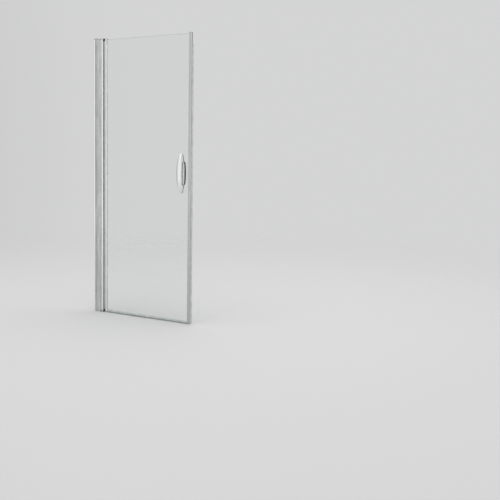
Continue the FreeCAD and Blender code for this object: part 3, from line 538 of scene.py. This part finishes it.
def group_tree(name, inputs, outputs):
    """A new shader node group with inputs (name, kind, default) and outputs (name, kind).  Gives
    the tree, its inputs' sockets by name, and the node that takes its outputs."""
    tree = bpy.data.node_groups.new(name, "ShaderNodeTree")
    for label, kind, default in inputs:
        socket = tree.interface.new_socket(name=label, in_out="INPUT",
                                           socket_type="NodeSocket" + kind)
        if default is not None:
            socket.default_value = default
    for label, kind in outputs:
        tree.interface.new_socket(name=label, in_out="OUTPUT", socket_type="NodeSocket" + kind)
    return tree, tree.nodes.new("NodeGroupInput").outputs, tree.nodes.new("NodeGroupOutput")


def stretched_noise(tree, vector, stretch, detail, roughness=0.5):
    """Noise on a vector that is scaled by its own amount along each axis."""
    mapping = add(tree, "ShaderNodeMapping", {"Vector": vector, "Scale": stretch})
    noise = add(tree, "ShaderNodeTexNoise", {"Vector": mapping.outputs["Vector"], "Scale": 1.0,
                                             "Detail": detail, "Roughness": roughness})
    return noise.outputs["Fac"]


def ranged(tree, value, low, high, to_low, to_high):
    """A value remapped smoothly from one range to another."""
    node = add(tree, "ShaderNodeMapRange", {"Value": value, "From Min": low, "From Max": high,
                                            "To Min": to_low, "To Max": to_high},
               interpolation_type="SMOOTHSTEP")
    return node.outputs["Result"]


def blended(tree, factor, first, second):
    """A colour that runs from first to second; each is a colour or a socket."""
    node = add(tree, "ShaderNodeMix", {"Factor": factor, "A": rgba(first), "B": rgba(second)},
               data_type="RGBA")
    return node.outputs["Result"]


def between(tree, factor, first, second):
    """A number that runs from first to second; each is a number or a socket."""
    node = add(tree, "ShaderNodeMix", {"Factor": factor, "A": first, "B": second},
               data_type="FLOAT")
    return node.outputs["Result"]


def worked_out(tree, operation, first, second, **settings):
    """The result of a Math node's operation on two numbers; each is a number or a socket."""
    node = add(tree, "ShaderNodeMath", {0: first, 1: second}, operation=operation, **settings)
    return node.outputs["Value"]


def along_axis(tree, vector, axis):
    """A vector's number along one axis."""
    return add(tree, "ShaderNodeSeparateXYZ", {"Vector": vector}).outputs[axis]


def off_plane(tree, place, y):
    """How far a point is from the upright plane at y, to either side."""
    off = worked_out(tree, "SUBTRACT", along_axis(tree, place, "Y"), y)
    return add(tree, "ShaderNodeMath", {0: off}, operation="ABSOLUTE").outputs["Value"]


def drawn_metal_group():
    """Drawn aluminium: slow clouds down the length, and fine die lines that run along Z.  Its tone
    also rises between two distances from the wall: painted shade, darkest close to the wall."""
    tree, given, sink = group_tree("Drawn Metal", [
        ("Vector", "Vector", None), ("Bright", "Color", None), ("Dull", "Color", None),
        ("Rise From", "Float", 10 * MM), ("Rise To", "Float", 45 * MM),
        ("Line Depth", "Float", 0.02 * MM)],
        [("Color", "Color"), ("Roughness", "Float"), ("Normal", "Vector")])
    cloud_stretch, line_stretch = (70, 70, 11), (1400, 1400, 5)
    cloud_range, gloss_range = (0.35, 0.65), (0.30, 0.20)
    cloud_share, wall_shade_share = 0.35, 0.65
    clouds = stretched_noise(tree, given["Vector"], cloud_stretch, detail=3.0, roughness=0.55)
    lines = stretched_noise(tree, given["Vector"], line_stretch, detail=2.0)
    from_clouds = ranged(tree, clouds, *cloud_range, 0.0, cloud_share)
    # Painted shade: the tone is darkest at the wall and climbs out of it from Rise From to Rise To.
    out_of_wall_shade = ranged(tree, along_axis(tree, given["Vector"], "X"), given["Rise From"],
                       given["Rise To"], 0.0, wall_shade_share)
    mask = worked_out(tree, "ADD", from_clouds, out_of_wall_shade, use_clamp=True)
    bump = add(tree, "ShaderNodeBump", {"Strength": 0.5, "Distance": given["Line Depth"],
                                        "Height": lines})
    feed(tree, sink, {"Color": blended(tree, mask, given["Dull"], given["Bright"]),
                      "Roughness": ranged(tree, clouds, *NOISE_RANGE, *gloss_range),
                      "Normal": bump.outputs["Normal"]})
    return tree


def moulded_group():
    """Moulded plastic and rubber: a fine even grain, and a faint change of tone."""
    tree, given, sink = group_tree("Moulded Grain", [
        ("Vector", "Vector", None), ("Color", "Color", None), ("Grain Size", "Float", 1.2),
        ("Grain Depth", "Float", 0.03 * MM), ("Roughness", "Float", 0.5)],
        [("Color", "Color"), ("Roughness", "Float"), ("Normal", "Vector")])
    tone_stretch, tone_range, gloss_range = (60, 60, 25), (0.88, 1.12), (0.9, 1.12)
    scale = worked_out(tree, "DIVIDE", 1 / MM, given["Grain Size"])
    grain = add(tree, "ShaderNodeTexNoise", {"Vector": given["Vector"], "Scale": scale,
                                             "Detail": 2.0}).outputs["Fac"]
    tone = stretched_noise(tree, given["Vector"], tone_stretch, detail=2.0)
    colours = add(tree, "ShaderNodeHueSaturation", {
        "Color": given["Color"], "Value": ranged(tree, tone, *NOISE_RANGE, *tone_range)})
    bump = add(tree, "ShaderNodeBump", {"Strength": 0.4, "Distance": given["Grain Depth"],
                                        "Height": grain})
    uneven = ranged(tree, grain, *NOISE_RANGE, *gloss_range)
    feed(tree, sink, {"Color": colours.outputs["Color"],
                      "Roughness": worked_out(tree, "MULTIPLY", given["Roughness"], uneven),
                      "Normal": bump.outputs["Normal"]})
    return tree


def handled_group():
    """Polished surfaces that hands touch: faint smears that change the gloss."""
    tree, given, sink = group_tree("Handled Gloss", [
        ("Vector", "Vector", None), ("Clean", "Float", 0.05), ("Smeared", "Float", 0.14)],
        [("Roughness", "Float")])
    smear_stretch, smear_range = (90, 90, 40), (0.45, 0.75)
    smears = stretched_noise(tree, given["Vector"], smear_stretch, detail=4.0, roughness=0.6)
    smeared = ranged(tree, smears, *smear_range, 0.0, 1.0)
    feed(tree, sink, {"Roughness": between(tree, smeared, given["Clean"], given["Smeared"])})
    return tree


def shared(tree, build, name, place, values):
    """The sockets of a shared effect placed on the given coordinates; its group is built once."""
    group = bpy.data.node_groups.get(name) or build()
    return add(tree, "ShaderNodeGroup", {"Vector": place, **values}, node_tree=group).outputs


def blank_material(name, **principled):
    """A material with a Principled shader alone: gives it, its tree, the shader and the socket of
    Object coordinates."""
    material = bpy.data.materials.new(name)
    material.use_nodes = True
    tree = material.node_tree
    tree.nodes.clear()
    shader = add(tree, "ShaderNodeBsdfPrincipled", principled)
    add(tree, "ShaderNodeOutputMaterial", {"Surface": shader.outputs["BSDF"]})
    place = add(tree, "ShaderNodeTexCoord").outputs["Object"]
    return material, tree, shader, place


# ---------------------------------------------------------------- finishes
def grained(tree, shader, place, name, tone):
    """Gives a shader a tone, a colour or a socket, with the gloss and grain of a moulded finish."""
    roughness, grain_size, grain_depth = MOULDINGS[name]
    grain = shared(tree, moulded_group, "Moulded Grain", place, {
        "Color": rgba(tone), "Grain Size": grain_size, "Grain Depth": grain_depth * MM,
        "Roughness": roughness})
    feed(tree, shader, {"Base Color": grain["Color"], "Roughness": grain["Roughness"],
                        "Normal": grain["Normal"]})


def moulded(name, finishes, **principled):
    """Plastic or rubber of a moulded finish, in the colour of the same name."""
    material, tree, shader, place = blank_material(name, **principled)
    grained(tree, shader, place, name, getattr(finishes, name))
    return material


def seal_shaded_below(name, finishes, shade_top):
    """A seal whose legs, over the given height, are clear, and whose fins below it are darker:
    painted shade, the contact shadow along its base.
    """
    material, tree, shader, place = blank_material(
        name, **{"Transmission Weight": 0.55, "IOR": 1.45})
    above_shade = ranged(tree, along_axis(tree, place, "Z"), shade_top, shade_top + SEAL_SHADE_BLEND,
                     0.0, 1.0)
    grained(tree, shader, place, name,
            blended(tree, above_shade, finishes.shaded_seal_fins, finishes.seal_legs))
    return material


def drawn_aluminium(name, bright, dull, bead=None):
    """Profile aluminium in two tones; near the wall the darker one is painted shade.  Where bead is
    given as (tone, y, distance), what stands further than the distance from the plane at y has that
    tone, a painted highlight over the bead's polish, and a polished gloss."""
    material, tree, shader, place = blank_material(name, Metallic=1.0)
    metal = shared(tree, drawn_metal_group, "Drawn Metal", place,
                   {"Bright": rgba(bright), "Dull": rgba(dull)})
    tone, gloss = metal["Color"], metal["Roughness"]
    if bead is not None:
        bead_highlight_tone, middle, proud = bead
        on_bead = ranged(tree, off_plane(tree, place, middle), proud, proud + BEAD_BLEND, 0.0, 1.0)
        tone = blended(tree, on_bead, tone, bead_highlight_tone)
        gloss = between(tree, on_bead, gloss, BEAD_GLOSS)
    feed(tree, shader, {"Base Color": tone, "Roughness": gloss, "Normal": metal["Normal"]})
    return material


def polished(name, tone, clean, smeared):
    """Bright metal, whose gloss differs where it is clean and where it is smeared."""
    material, tree, shader, place = blank_material(
        name, **{"Metallic": 1.0, "Base Color": rgba(tone)})
    gloss = shared(tree, handled_group, "Handled Gloss", place,
                   {"Clean": clean, "Smeared": smeared})
    feed(tree, shader, {"Roughness": gloss["Roughness"]})
    return material


def clear_glass(name, finishes, half_thickness):
    """Clear glass whose edges, nearer the middle plane than its faces, are ground and greener.  It
    lets the lamps' light through."""
    material, tree, shader, place = blank_material(name, **{
        "Transmission Weight": 1.0, "IOR": 1.5, "Specular IOR Level": 0.3})
    output = shader.outputs["BSDF"].links[0].to_node
    face = ranged(tree, off_plane(tree, place, 0.0), half_thickness - GROUND_FROM,
                  half_thickness - GROUND_TO, 0.0, 1.0)
    feed(tree, shader, {"Base Color": blended(tree, face, finishes.glass_edge, finishes.glass),
                        "Roughness": ranged(tree, face, 0.0, 1.0, GROUND_GLOSS, 0.0)})
    through = add(tree, "ShaderNodeBsdfTransparent", {"Color": rgba(finishes.glass)})
    mix = add(tree, "ShaderNodeMixShader", {
        "Fac": add(tree, "ShaderNodeLightPath").outputs["Is Shadow Ray"],
        1: shader.outputs["BSDF"], 2: through.outputs["BSDF"]})
    feed(tree, output, {"Surface": mix.outputs["Shader"]})
    return material


def finish_nodes(material, *nodes):
    """Gives pieces of the frame their finish."""
    for node in nodes:
        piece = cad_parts[node]
        if not piece.material_slots:
            piece.data.materials.append(material)
        for slot in piece.material_slots:
            slot.material = material


def finish_of(node):
    """The finish that a piece of the frame has now."""
    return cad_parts[node].material_slots[0].material


def place_piece(piece, material, body, slot, *stands_for):
    """Finishes a new piece, makes it ride on its body and stand for its nodes."""
    piece.data.materials.clear()
    piece.data.materials.append(material)
    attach(piece, body)
    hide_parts(*stands_for)


# ---------------------------------------------------------------- operators
class BATH_OT_profiles(bpy.types.Operator):
    """Finishes the four aluminium extrusions"""
    bl_idname = "bath_screen.profiles"
    bl_label = "Aluminium profiles"

    def execute(self, context):
        finishes = context.scene.bath_finishes
        low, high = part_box("wall_profile")
        middle, bead = (low.y + high.y) / 2, (high.y - low.y) / 2
        # The column's dull tone also paints shade near the wall, and its beads' tone paints a
        # highlight on top of their polish.
        column = drawn_aluminium("column_aluminium", finishes.aluminium, finishes.aluminium_dull_and_shaded,
                                 (finishes.bead_polish_and_highlight, middle, bead - BEAD_PROUD))
        edge = drawn_aluminium("edge_aluminium", finishes.edge_metal, finishes.edge_metal_dark)
        hinge = drawn_aluminium("hinge_aluminium", finishes.hinge_metal,
                                finishes.hinge_metal_dark)
        finish_nodes(column, "wall_profile", "pivot_post")
        finish_nodes(edge, "edge_profile")
        finish_nodes(hinge, "hinge_profile")
        return {"FINISHED"}


class BATH_OT_fittings(bpy.types.Operator):
    """Finishes the caps, pivot blocks, pins, bushes, screws and gaskets"""
    bl_idname = "bath_screen.fittings"
    bl_label = "Caps, pivots and gaskets"

    def execute(self, context):
        finishes = context.scene.bath_finishes
        for name, nodes in MOULDED_NODES.items():
            finish_nodes(moulded(name, finishes), *nodes)
        finish_nodes(polished("steel", finishes.steel, clean=0.22, smeared=0.34), *STEEL_NODES)
        return {"FINISHED"}


class BATH_OT_glass(bpy.types.Operator):
    """Finishes the pane: clear faces and ground, greener edges"""
    bl_idname = "bath_screen.glass"
    bl_label = "Glass pane"

    def execute(self, context):
        half_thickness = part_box("glass_panel")[1].y
        glass = clear_glass("clear_glass", context.scene.bath_finishes, half_thickness)
        finish_nodes(glass, "glass_panel")
        return {"FINISHED"}


class BATH_OT_handle(bpy.types.Operator):
    """Builds the bow handle, with its crowned face, finger gap and two feet"""
    bl_idname = "bath_screen.handle"
    bl_label = "Bow handle"

    def execute(self, context):
        rings = bow_handle_rings(context.scene.bath_handle, *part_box("handle_front"))
        handle = lofted("bow_handle", rings, smooth_angle=40)
        # The handle, its back plate and its screws all keep the frame's plain chrome.
        place_piece(handle, finish_of("handle_front"), "panel", "chrome", "handle_front")
        return {"FINISHED"}


class BATH_OT_back_gasket(bpy.types.Operator):
    """Builds the pale gasket between the glass and the plate behind it"""
    bl_idname = "bath_screen.back_gasket"
    bl_label = "Back gasket"

    def execute(self, context):
        rings = back_gasket_rings(context.scene.bath_trim, *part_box("back_gasket"))
        gasket = lofted("pale_back_gasket", rings, smooth_angle=40)
        # It shares the pale rubber of the bushes in the glass.
        place_piece(gasket, finish_of("glass_bushes"), "panel", "grey_gasket", "back_gasket")
        return {"FINISHED"}


class BATH_OT_grip(bpy.types.Operator):
    """Builds the black grip on the bath side"""
    bl_idname = "bath_screen.grip"
    bl_label = "Inner grip"

    def execute(self, context):
        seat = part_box("handle_backplate")[1].y
        rings = grip_rings(context.scene.bath_handle, *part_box("inner_grip"), seat)
        grip = lofted("inner_grip_bow", rings, smooth_angle=50)
        black = moulded("black_grip", context.scene.bath_finishes, **{"Specular IOR Level": 0.3})
        place_piece(grip, black, "panel", "black_grip", "inner_grip")
        return {"FINISHED"}


class BATH_OT_lip(bpy.types.Operator):
    """Builds the soft lip along the free edge, keyed into its profile"""
    bl_idname = "bath_screen.lip"
    bl_label = "Edge lip"

    def execute(self, context):
        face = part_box("edge_profile")[1].x
        rings = lip_rings(context.scene.bath_trim, *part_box("edge_lip"), face)
        lip = lofted("free_edge_lip", rings, smooth_angle=30)
        soft = moulded("lip_rubber", context.scene.bath_finishes)
        place_piece(lip, soft, "panel", "lip_rubber", "edge_lip")
        return {"FINISHED"}


class BATH_OT_seal(bpy.types.Operator):
    """Builds the push-on seal under the glass, with an upright fin and a drip fin"""
    bl_idname = "bath_screen.seal"
    bl_label = "Bottom seal"

    def execute(self, context):
        sizes = context.scene.bath_trim
        glass_low, glass_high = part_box("glass_panel")
        rings = seal_rings(sizes, *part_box("bottom_seal"), glass_low.z, glass_high.y)
        seal = lofted("sill_seal", rings, smooth_angle=30)
        under_glass = glass_low.z - sizes.seal_clear - sizes.seal_base
        # Below this height the seal is painted darker: a painted contact shadow along its base.
        shaded = seal_shaded_below("shaded_seal", context.scene.bath_finishes, under_glass + SEAL_SHADE_TOP)
        place_piece(seal, shaded, "panel", "clear_seal", "bottom_seal")
        return {"FINISHED"}


class BATH_OT_covers(bpy.types.Operator):
    """Builds the three domed screw covers on the bath side of the column"""
    bl_idname = "bath_screen.covers"
    bl_label = "Screw covers"

    def execute(self, context):
        sizes = context.scene.bath_trim
        low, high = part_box("screw_covers")
        count = 3
        radius, centre_x = (high.x - low.x) / 2, (low.x + high.x) / 2
        heights = np.linspace(low.z + radius, high.z - radius, count)
        skins = [lofted(f"cover_{number}", cover_rings(sizes, low, high, radius, (centre_x, z)),
                        smooth_angle=30) for number, z in enumerate(heights)]
        covers = joined("domed_screw_covers", skins)
        # The covers keep the frame's plain grey.
        place_piece(covers, finish_of("screw_covers"), "wall", "grey_cap", "screw_covers")
        return {"FINISHED"}


class BATH_OT_studio(bpy.types.Operator):
    """Sets up the pale floor, the soft lamps, the background and the camera"""
    bl_idname = "bath_screen.studio"
    bl_label = "Floor, lamps and camera"

    # The lamps' places from the screen's middle, and the headings of the room and of the wall.
    key_place, back_place = Vector((0.8, -1.2, 3.2)), Vector((0.6, 1.8, 2.8))
    to_room, to_wall = (0.5, -0.87, 0.0), (-1.0, 0.0, 0.0)
    # The wall's tone comes in over this range of a direction's dot product with the wall's
    # heading, and the ceiling's over this range of a direction's height.
    wall_range, ceiling_range = (0.62, 1.0), (0.2, 0.9)

    def execute(self, context):
        studio = context.scene.bath_studio
        self.floor(studio)
        self.world(context.scene, studio)
        self.lamp("key_lamp", self.key_place, studio.key_size, studio.key_power)
        self.lamp("back_lamp", self.back_place, studio.back_size, studio.back_power)
        self.camera(context.scene, studio)
        context.scene.view_settings.view_transform = "Standard"
        return {"FINISHED"}

    def floor(self, studio):
        """A disc whose points are radius times cos and sin, and which fades out towards its
        edge."""
        around, steps, least_radius = 96, 24, 0.02
        turn = np.linspace(0, 2 * math.pi, around, endpoint=False)
        radius = np.linspace(least_radius, studio.floor_radius, steps)[:, None]
        x, y = radius * np.cos(turn), radius * np.sin(turn)
        index = np.arange(x.size).reshape(x.shape)
        faces = ring_quads(index)[:, ::-1].tolist() + [index[0].tolist()]
        mesh = bpy.data.meshes.new("floor")
        mesh.from_pydata(np.stack([x, y, np.zeros_like(x)], axis=2).reshape(-1, 3), [], faces)
        disc = linked("floor", mesh)
        material, tree, shader, place = blank_material(
            "pale_floor", **{"Roughness": 0.8, "Base Color": rgba(studio.floor)})
        out = add(tree, "ShaderNodeVectorMath", {0: place}, operation="LENGTH").outputs["Value"]
        fade_from = studio.floor_solid * studio.floor_radius
        feed(tree, shader, {"Alpha": ranged(tree, out, fade_from, studio.floor_radius, 1.0, 0.0)})
        mesh.materials.append(material)

    def world(self, scene, studio):
        """A background whose tone runs from the far side's to the room side's with the heading of
        the direction looked in, turns to the wall's about the wall's heading, and runs to the
        ceiling's with height."""
        world = bpy.data.worlds.new("studio")
        scene.world = world
        world.use_nodes = True
        tree = world.node_tree
        tree.nodes.clear()
        direction = add(tree, "ShaderNodeTexCoord").outputs["Generated"]

        def towards(heading):
            return add(tree, "ShaderNodeVectorMath", {0: direction, 1: heading},
                       operation="DOT_PRODUCT").outputs["Value"]

        at_room = ranged(tree, towards(self.to_room), -1.0, 1.0, 0.0, 1.0)
        at_wall = ranged(tree, towards(self.to_wall), *self.wall_range, 0.0, 1.0)
        height = ranged(tree, along_axis(tree, direction, "Z"), *self.ceiling_range, 0.0, 1.0)
        around = blended(tree, at_room, studio.far_side, studio.room_side)
        around = blended(tree, at_wall, around, studio.wall_side)
        background = add(tree, "ShaderNodeBackground", {
            "Color": blended(tree, height, around, studio.ceiling)})
        add(tree, "ShaderNodeOutputWorld", {"Surface": background.outputs["Background"]})

    def lamp(self, name, offset, size, watts):
        """A square soft lamp, offset from the screen's middle, which it faces."""
        data = bpy.data.lights.new(name, "AREA")
        data.size = size
        data.energy = watts
        lamp = linked(name, data)
        middle = (CAD_BOX[0] + CAD_BOX[1]) / 2
        lamp.location = middle + offset
        lamp.rotation_euler = offset.to_track_quat("Z", "Y").to_euler()

    def camera(self, scene, studio):
        """A camera that looks along its heading, tilted down and rolled, with a small shift."""
        turn, tilt = studio.turn, studio.tilt
        ahead = Vector((-math.sin(turn) * math.cos(tilt), math.cos(turn) * math.cos(tilt),
                        -math.sin(tilt)))
        level = Vector((math.cos(turn), math.sin(turn), 0))
        above = level.cross(ahead)
        right = level * math.cos(studio.roll) + above * math.sin(studio.roll)
        up = above * math.cos(studio.roll) - level * math.sin(studio.roll)
        data = bpy.data.cameras.new("camera")
        data.sensor_width = studio.sensor
        data.lens = studio.lens
        data.shift_y = studio.shift
        scene.camera = linked("camera", data)
        turned = Matrix((right, up, -ahead)).transposed().to_4x4()
        scene.camera.matrix_world = Matrix.Translation(studio.camera_place) @ turned


OPERATORS = (BATH_OT_profiles, BATH_OT_fittings, BATH_OT_glass, BATH_OT_handle,
             BATH_OT_back_gasket, BATH_OT_grip, BATH_OT_lip, BATH_OT_seal, BATH_OT_covers,
             BATH_OT_studio)


class BATH_PT_panel(bpy.types.Panel):
    """Lists the steps that finish the bath screen"""
    bl_idname = "BATH_PT_panel"
    bl_label = "Bath Screen"
    bl_space_type = "VIEW_3D"
    bl_region_type = "UI"
    bl_category = "Bath Screen"

    def draw(self, context):
        for operator in OPERATORS:
            self.layout.operator(operator.bl_idname)
        for group in SETTINGS:
            settings = getattr(context.scene, group)
            box = self.layout.box()
            for name in settings.bl_rna.properties.keys():
                if name not in ("rna_type", "name"):
                    box.prop(settings, name)


SETTINGS = {"bath_finishes": ScreenFinishes, "bath_handle": HandleSizes, "bath_trim": TrimSizes,
            "bath_studio": StudioSettings}
CLASSES = tuple(SETTINGS.values()) + OPERATORS + (BATH_PT_panel,)


def register():
    for item in CLASSES:
        bpy.utils.register_class(item)
    for name, group in SETTINGS.items():
        setattr(bpy.types.Scene, name, PointerProperty(type=group))


def unregister():
    for name in SETTINGS:
        delattr(bpy.types.Scene, name)
    for item in reversed(CLASSES):
        bpy.utils.unregister_class(item)


def main():
    """Registers the add-on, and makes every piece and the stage."""
    register()
    for operator in OPERATORS:
        module, name = operator.bl_idname.split(".")
        getattr(getattr(bpy.ops, module), name)()


if __name__ == "__main__":
    main()
